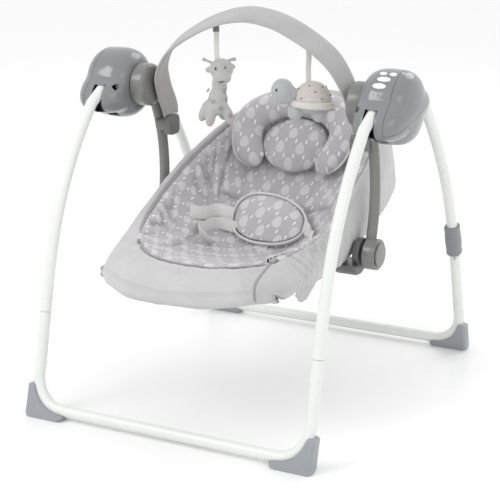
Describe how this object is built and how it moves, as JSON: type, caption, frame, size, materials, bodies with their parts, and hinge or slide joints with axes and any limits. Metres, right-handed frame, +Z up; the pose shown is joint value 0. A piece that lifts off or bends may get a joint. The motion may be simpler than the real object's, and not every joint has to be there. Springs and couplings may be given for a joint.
{
  "type": "electric baby swing",
  "caption": "Portable electric baby swing with a reclining padded seat hung on two arms between motor hubs, a toy bar over it and a folding A-frame tube stand.",
  "frame": {"origin": "on the floor, midway between the outermost points of the object in X and Y", "axes": "+Z up, -Y towards the foot end of the seat, +X towards the hub with the control buttons"},
  "size_m": [0.701, 0.7768, 0.763],
  "materials": {
    "white_tube": "satin white powder coat",
    "hub_plastic": "gloss",
    "arm_plastic": "satin",
    "foot_plastic": "satin",
    "grey_plastic": "satin",
    "dark_grey_plastic": "satin",
    "clip_plastic": "satin",
    "white_button": "satin",
    "white_plastic": "matte",
    "dark_plastic": "matte",
    "steel": "turned",
    "copper_winding": "enamelled wire",
    "battery_cell": "plain sleeve",
    "circuit_board": "matte",
    "velour": "short pile",
    "printed_fabric": "printed jersey",
    "webbing": "woven",
    "plush": "plush"
  },
  "bodies": {
    "stand": {"rear_base_tube": "white_tube", "rear_leg_left": "white_tube", "rear_leg_right": "white_tube", "rear_clamp_left": "grey_plastic", "rear_clamp_right": "grey_plastic", "clamp_screw_left": "steel", "clamp_screw_right": "steel", "rear_foot_left": "foot_plastic", "rear_foot_right": "foot_plastic", "hub_housing_left": "hub_plastic", "hub_housing_right": "hub_plastic", "hub_cover_left": "hub_plastic", "hub_cover_right": "hub_plastic", "shaft_bearing_left": "white_plastic", "shaft_bearing_right": "white_plastic", "fold_axle_left": "steel", "fold_axle_right": "steel", "battery_cover": "hub_plastic", "battery_screw": "steel", "battery_1": "battery_cell", "battery_2": "battery_cell", "control_board": "circuit_board", "speaker": "dark_plastic", "drive_coil": "copper_winding", "power_inlet": "dark_plastic"},
    "front_frame": {"front_base_tube": "white_tube", "front_leg_left": "white_tube", "front_leg_right": "white_tube", "front_foot_left": "foot_plastic", "front_foot_right": "foot_plastic", "fold_pivot_left": "steel", "fold_pivot_right": "steel"},
    "power_button": {"power_button": "white_button"},
    "speed_button": {"speed_button": "white_button"},
    "music_button": {"music_button": "white_button"},
    "volume_button": {"volume_button": "white_button"},
    "fold_button_left": {"fold_button_left": "grey_plastic"},
    "fold_button_right": {"fold_button_right": "grey_plastic"},
    "swing": {"swing_arm_left": "arm_plastic", "swing_arm_right": "arm_plastic", "swing_shaft_left": "steel", "swing_shaft_right": "steel", "arm_cap_left": "arm_plastic", "arm_cap_right": "arm_plastic", "drive_lever": "white_plastic"},
    "toy_bar": {"toy_bar": "velour", "toy_bar_clip_left": "clip_plastic", "toy_bar_clip_right": "clip_plastic"},
    "giraffe": {"giraffe_toy": "plush"},
    "turtle": {"turtle_toy": "plush"},
    "seat": {"seat_frame": "white_tube", "seat_cover": "velour", "recline_hub_left": "dark_grey_plastic", "recline_hub_right": "dark_grey_plastic", "head_pillow": "printed_fabric", "head_cushion": "printed_fabric", "harness_pad": "printed_fabric", "waist_strap_left": "webbing", "waist_strap_right": "webbing", "crotch_strap": "webbing"}
  },
  "joints": [
    {"name": "front_frame_fold", "type": "hinge", "parent": "stand", "child": "front_frame", "pos_m": [0, -0.034, 0.597], "axis": [1, 0, 0], "range_deg": [0, 55]},
    {"name": "swing_hinge", "type": "hinge", "parent": "stand", "child": "swing", "pos_m": [0, -0.034, 0.597], "axis": [1, 0, 0], "range_deg": [-15, 15]},
    {"name": "seat_recline", "type": "hinge", "parent": "swing", "child": "seat", "pos_m": [0, 0.011, 0.297], "axis": [1, 0, 0], "range_deg": [-5, 15]},
    {"name": "toy_bar_hinge", "type": "hinge", "parent": "swing", "child": "toy_bar", "pos_m": [0, 0.016, 0.51], "axis": [1, 0, 0], "range_deg": [-40, 40]},
    {"name": "giraffe_hang", "type": "hinge", "parent": "toy_bar", "child": "giraffe", "pos_m": [-0.074, -0.034, 0.727], "axis": [1, 0, 0], "range_deg": [-40, 40]},
    {"name": "turtle_hang", "type": "hinge", "parent": "toy_bar", "child": "turtle", "pos_m": [0.124, -0.034, 0.698], "axis": [1, 0, 0], "range_deg": [-40, 40]},
    {"name": "power_button_press", "type": "slide", "parent": "stand", "child": "power_button", "axis": [0, 0.7547, -0.6561], "range_m": [0, 0.0015], "stiffness_N_per_m": 400, "springref_m": -0.001},
    {"name": "speed_button_press", "type": "slide", "parent": "stand", "child": "speed_button", "axis": [0, 0.5878, -0.809], "range_m": [0, 0.0015], "stiffness_N_per_m": 400, "springref_m": -0.001},
    {"name": "music_button_press", "type": "slide", "parent": "stand", "child": "music_button", "axis": [0, 0.3907, -0.9205], "range_m": [0, 0.0015], "stiffness_N_per_m": 400, "springref_m": -0.001},
    {"name": "volume_button_press", "type": "slide", "parent": "stand", "child": "volume_button", "axis": [0, 0.3907, -0.9205], "range_m": [0, 0.0015], "stiffness_N_per_m": 400, "springref_m": -0.001},
    {"name": "fold_button_left_press", "type": "slide", "parent": "stand", "child": "fold_button_left", "axis": [0, 1, 0], "range_m": [0, 0.004], "stiffness_N_per_m": 400, "springref_m": -0.001},
    {"name": "fold_button_right_press", "type": "slide", "parent": "stand", "child": "fold_button_right", "axis": [0, 1, 0], "range_m": [0, 0.004], "stiffness_N_per_m": 400, "springref_m": -0.001}
  ]
}
